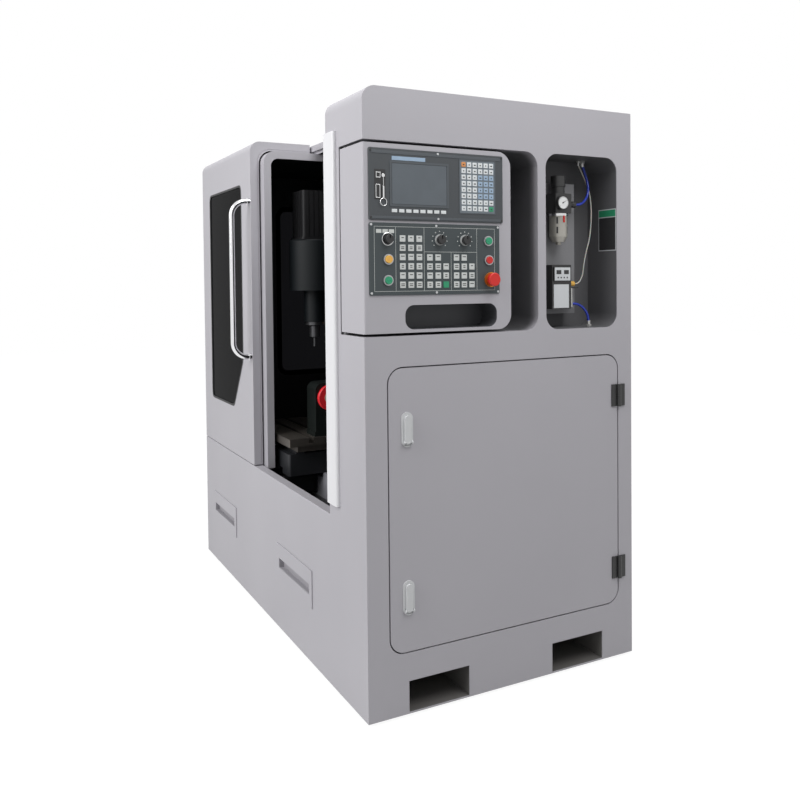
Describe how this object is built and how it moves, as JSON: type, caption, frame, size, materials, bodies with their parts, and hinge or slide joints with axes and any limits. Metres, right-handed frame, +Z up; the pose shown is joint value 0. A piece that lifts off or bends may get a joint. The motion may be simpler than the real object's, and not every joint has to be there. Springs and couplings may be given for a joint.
{
  "type": "cnc machining center",
  "caption": "Compact enclosed CNC machining center with a sliding front door, a swing-out control box, an electrical cabinet, chip drawers and a milling machine inside.",
  "frame": {"origin": "on the floor, in the middle of the whole outline, door handle and stop button included", "axes": "+X to the right of the operator along the long side, +Y to the rear, +Z up"},
  "size_m": [1.88, 1.04, 1.8],
  "materials": {
    "cabinet_paint": "satin powder coat",
    "foot_steel": "zinc plated",
    "white_profile": "satin white",
    "liner_paint": "satin grey",
    "pan_steel": "rolled",
    "bed_paint": "painted light grey",
    "casting_paint": "painted dark grey",
    "head_paint": "painted blue grey",
    "motor_black": "matte black",
    "ground_steel": "ground",
    "rotary_paint": "painted dark green",
    "rotary_red": "gloss red",
    "handle_chrome": "polished",
    "smoked_pane": "smoked, polished",
    "hinge_black": "matte black",
    "latch_paint": "satin",
    "electrics_plastic": "matte",
    "unit_plastic": "fine texture",
    "screen_pane": "glossy",
    "key_plastic": "matte film",
    "bezel_metal": "satin",
    "cap_yellow": "satin",
    "cap_green": "satin",
    "cap_red": "satin",
    "stop_red": "satin",
    "knob_black": "satin",
    "mount_paint": "satin",
    "air_black": "satin",
    "gauge_black": "satin",
    "bowl_plastic": "clear grey",
    "tube_blue": "satin",
    "tube_clear": "satin"
  },
  "bodies": {
    "cabin": {"base_frame": "cabinet_paint", "front_panel": "cabinet_paint", "side_panel": "cabinet_paint", "cabinet_roof": "cabinet_paint", "partition_wall": "cabinet_paint", "rear_panel": "cabinet_paint", "left_wall": "cabinet_paint", "cabin_shell": "cabinet_paint", "rear_roof_cover": "cabinet_paint", "levelling_feet": "foot_steel", "strike_profile": "white_profile", "control_recess": "liner_paint", "niche_box": "liner_paint", "splash_pan": "pan_steel", "machine_bed": "bed_paint", "column": "casting_paint", "axis_servos": "motor_black", "left_window": "smoked_pane", "fixed_hinge_leaves": "hinge_black", "cabinet_electrics": "electrics_plastic", "air_mount_box": "mount_paint", "air_regulator": "air_black", "air_gauge": "gauge_black", "filter_bowl": "bowl_plastic", "pressure_switch": "air_black", "air_tubes": "tube_blue", "sense_tube": "tube_clear"},
    "door": {"sliding_door": "cabinet_paint", "door_window": "smoked_pane", "door_handle": "handle_chrome"},
    "electrical_door": {"electrical_door": "cabinet_paint", "door_hinge_leaves": "hinge_black", "latch_bases": "latch_paint"},
    "latch_upper": {"latch_lever_upper": "latch_paint"},
    "latch_lower": {"latch_lever_lower": "latch_paint"},
    "control": {"control_box": "cabinet_paint", "display_unit": "unit_plastic", "display_screen": "screen_pane", "panel_keys": "key_plastic", "operator_panel": "unit_plastic", "button_bezels": "bezel_metal"},
    "selector": {"selector_knob": "knob_black"},
    "feed": {"feed_knob": "knob_black"},
    "speed": {"speed_knob": "knob_black"},
    "yellow": {"yellow_button": "cap_yellow"},
    "green_left": {"green_button_left": "cap_green"},
    "green_right": {"green_button_right": "cap_green"},
    "red": {"red_button": "cap_red"},
    "stop": {"estop_button": "stop_red"},
    "drawer_left": {"chip_drawer_left": "cabinet_paint"},
    "drawer_right": {"chip_drawer_right": "cabinet_paint"},
    "saddle": {"saddle": "casting_paint"},
    "table": {"table": "ground_steel", "x_servo": "motor_black", "rotary_unit": "rotary_paint"},
    "faceplate": {"rotary_faceplate": "rotary_red"},
    "head": {"spindle_head": "head_paint", "spindle_motor": "motor_black"},
    "spindle": {"spindle": "ground_steel"},
    "regulator_knob": {"air_knob": "air_black"}
  },
  "joints": [
    {"name": "door_slide", "type": "slide", "parent": "cabin", "child": "door", "axis": [1, 0, 0], "range_m": [0, 0.798]},
    {"name": "electrical_door_hinge", "type": "hinge", "parent": "cabin", "child": "electrical_door", "pos_m": [0.9173, 0.462, 0.6], "axis": [0, 0, 1], "range_deg": [0, 110]},
    {"name": "latch_upper_lift", "type": "hinge", "parent": "electrical_door", "child": "latch_upper", "pos_m": [0.919, -0.312, 0.796], "axis": [0, 1, 0], "range_deg": [0, 40]},
    {"name": "latch_lower_lift", "type": "hinge", "parent": "electrical_door", "child": "latch_lower", "pos_m": [0.919, -0.312, 0.312], "axis": [0, 1, 0], "range_deg": [0, 40]},
    {"name": "control_box_swing", "type": "hinge", "parent": "cabin", "child": "control", "pos_m": [0.757, -0.428, 1.375], "axis": [0, 0, 1], "range_deg": [-90, 0]},
    {"name": "selector_turn", "type": "hinge", "parent": "control", "child": "selector", "pos_m": [0.92, -0.368, 1.374], "axis": [1, 0, 0], "range_deg": [-45, 45]},
    {"name": "feed_knob_turn", "type": "hinge", "parent": "control", "child": "feed", "pos_m": [0.92, -0.202, 1.374], "axis": [1, 0, 0], "range_deg": [-120, 120]},
    {"name": "speed_knob_turn", "type": "hinge", "parent": "control", "child": "speed", "pos_m": [0.92, -0.118, 1.374], "axis": [1, 0, 0], "range_deg": [-120, 120]},
    {"name": "yellow_press", "type": "slide", "parent": "control", "child": "yellow", "axis": [-1, 0, 0], "range_m": [0, 0.0035], "stiffness_N_per_m": 300},
    {"name": "green_left_press", "type": "slide", "parent": "control", "child": "green_left", "axis": [-1, 0, 0], "range_m": [0, 0.0035], "stiffness_N_per_m": 300},
    {"name": "green_right_press", "type": "slide", "parent": "control", "child": "green_right", "axis": [-1, 0, 0], "range_m": [0, 0.0035], "stiffness_N_per_m": 300},
    {"name": "red_press", "type": "slide", "parent": "control", "child": "red", "axis": [-1, 0, 0], "range_m": [0, 0.0035], "stiffness_N_per_m": 300},
    {"name": "stop_press", "type": "slide", "parent": "control", "child": "stop", "axis": [-1, 0, 0], "range_m": [0, 0.005], "stiffness_N_per_m": 600},
    {"name": "drawer_left_slide", "type": "slide", "parent": "cabin", "child": "drawer_left", "axis": [0, -1, 0], "range_m": [0, 0.36]},
    {"name": "drawer_right_slide", "type": "slide", "parent": "cabin", "child": "drawer_right", "axis": [0, -1, 0], "range_m": [0, 0.36]},
    {"name": "saddle_y", "type": "slide", "parent": "cabin", "child": "saddle", "axis": [0, 1, 0], "range_m": [-0.008, 0.112]},
    {"name": "table_x", "type": "slide", "parent": "saddle", "child": "table", "axis": [1, 0, 0], "range_m": [0, 0.22]},
    {"name": "faceplate_turn", "type": "hinge", "parent": "table", "child": "faceplate", "pos_m": [0.012, -0.195, 0.812], "axis": [1, 0, 0], "continuous": true},
    {"name": "head_z", "type": "slide", "parent": "cabin", "child": "head", "axis": [0, 0, 1], "range_m": [-0.3, 0.02]},
    {"name": "spindle_spin", "type": "hinge", "parent": "head", "child": "spindle", "pos_m": [-0.135, -0.2, 1.2], "axis": [0, 0, 1], "continuous": true},
    {"name": "regulator_knob_turn", "type": "hinge", "parent": "cabin", "child": "regulator_knob", "pos_m": [0.848, 0.27, 1.57], "axis": [0, 0, 1], "range_deg": [-180, 180]}
  ]
}
